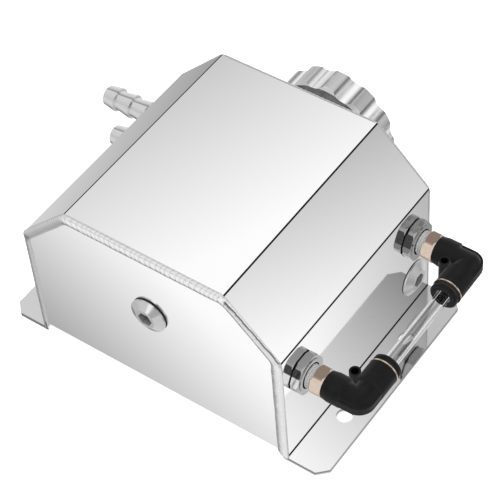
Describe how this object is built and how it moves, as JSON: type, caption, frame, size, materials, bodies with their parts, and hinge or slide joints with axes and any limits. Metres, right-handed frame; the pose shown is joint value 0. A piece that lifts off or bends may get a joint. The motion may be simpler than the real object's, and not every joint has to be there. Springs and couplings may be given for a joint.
{
  "type": "coolant expansion tank",
  "caption": "Folded and welded aluminium coolant expansion tank with mounting flanges, a screw cap, a tube sight gauge, hose barbs and socket-head plugs.",
  "frame": {"origin": "centre of the four mounting holes, on the flanges' mounting plane", "axes": "+X towards the sight gauge, +Y towards the filler cap, +Z away from the mounting plane"},
  "size_m": [0.1945, 0.1425, 0.089],
  "materials": {
    "polished_sheet": "mirror polished",
    "weld_metal": "rippled, satin",
    "turned_aluminium": "bright turned",
    "plated_steel": "bright plated",
    "pale_brass": "nickel-washed, satin",
    "black_plastic": "moulded",
    "black_rubber": "matte",
    "clear_tube": "clear",
    "thread_sealant": "matte paste"
  },
  "bodies": {
    "tank": {"tank_shell": "polished_sheet", "front_end_plate": "polished_sheet", "rear_end_plate": "polished_sheet", "back_plate": "polished_sheet", "front_weld_bead": "weld_metal", "rear_weld_bead": "weld_metal", "back_plate_weld_beads": "weld_metal", "filler_neck_weld_bead": "weld_metal", "hose_barb_weld_beads": "weld_metal", "drain_boss": "turned_aluminium", "side_boss": "turned_aluminium", "filler_neck": "turned_aluminium", "upper_hose_barb": "turned_aluminium", "lower_hose_barb": "turned_aluminium", "sight_tube": "clear_tube", "front_gauge_seal_washer": "black_rubber", "front_gauge_adapter": "plated_steel", "front_stud_sealant": "thread_sealant", "front_brass_stud": "pale_brass", "front_stud_o_ring": "black_rubber", "front_gauge_elbow": "black_plastic", "front_tube_o_ring": "black_rubber", "front_grab_ring": "plated_steel", "front_mouth_ring": "pale_brass", "front_gauge_boss": "turned_aluminium", "rear_gauge_seal_washer": "black_rubber", "rear_gauge_adapter": "plated_steel", "rear_stud_sealant": "thread_sealant", "rear_brass_stud": "pale_brass", "rear_stud_o_ring": "black_rubber", "rear_gauge_elbow": "black_plastic", "rear_tube_o_ring": "black_rubber", "rear_grab_ring": "plated_steel", "rear_mouth_ring": "pale_brass", "rear_gauge_boss": "turned_aluminium"},
    "cap_gasket": {"filler_cap_gasket": "black_rubber"},
    "cap": {"filler_cap": "turned_aluminium"},
    "drain_ring": {"drain_plug_o_ring": "black_rubber"},
    "drain_screw": {"drain_plug": "turned_aluminium"},
    "side_ring": {"side_plug_o_ring": "black_rubber"},
    "side_screw": {"side_plug": "turned_aluminium"},
    "front_collar": {"front_release_collar": "black_plastic"},
    "rear_collar": {"rear_release_collar": "black_plastic"}
  },
  "joints": [
    {"name": "cap_lift", "type": "slide", "parent": "tank", "child": "cap_gasket", "axis": [0, 1, 0], "range_m": [0, 0.006]},
    {"name": "cap_turn", "type": "hinge", "parent": "cap_gasket", "child": "cap", "pos_m": [0, 0.08, 0.0453], "axis": [0, 1, 0], "range_deg": [0, 720]},
    {"name": "drain_plug_lift", "type": "slide", "parent": "tank", "child": "drain_ring", "axis": [0, -1, 0], "range_m": [0, 0.0075]},
    {"name": "drain_plug_turn", "type": "hinge", "parent": "drain_ring", "child": "drain_screw", "pos_m": [0, -0.056, 0.0525], "axis": [0, -1, 0], "range_deg": [0, 1800]},
    {"name": "side_plug_lift", "type": "slide", "parent": "tank", "child": "side_ring", "axis": [1, 0, 0], "range_m": [0, 0.0075]},
    {"name": "side_plug_turn", "type": "hinge", "parent": "side_ring", "child": "side_screw", "pos_m": [0.066, 0.0415, 0.02], "axis": [1, 0, 0], "range_deg": [0, 1800]},
    {"name": "front_collar_press", "type": "slide", "parent": "tank", "child": "front_collar", "axis": [0, -1, 0], "range_m": [0, 0.0009], "stiffness_N_per_m": 800},
    {"name": "rear_collar_press", "type": "slide", "parent": "tank", "child": "rear_collar", "axis": [0, 1, 0], "range_m": [0, 0.0009], "stiffness_N_per_m": 800}
  ],
  "couplings": [
    {"joint": "cap_lift", "follows": "cap_turn", "m_per_rad": 0.00047746},
    {"joint": "drain_plug_lift", "follows": "drain_plug_turn", "m_per_rad": 0.00023873},
    {"joint": "side_plug_lift", "follows": "side_plug_turn", "m_per_rad": 0.00023873}
  ]
}
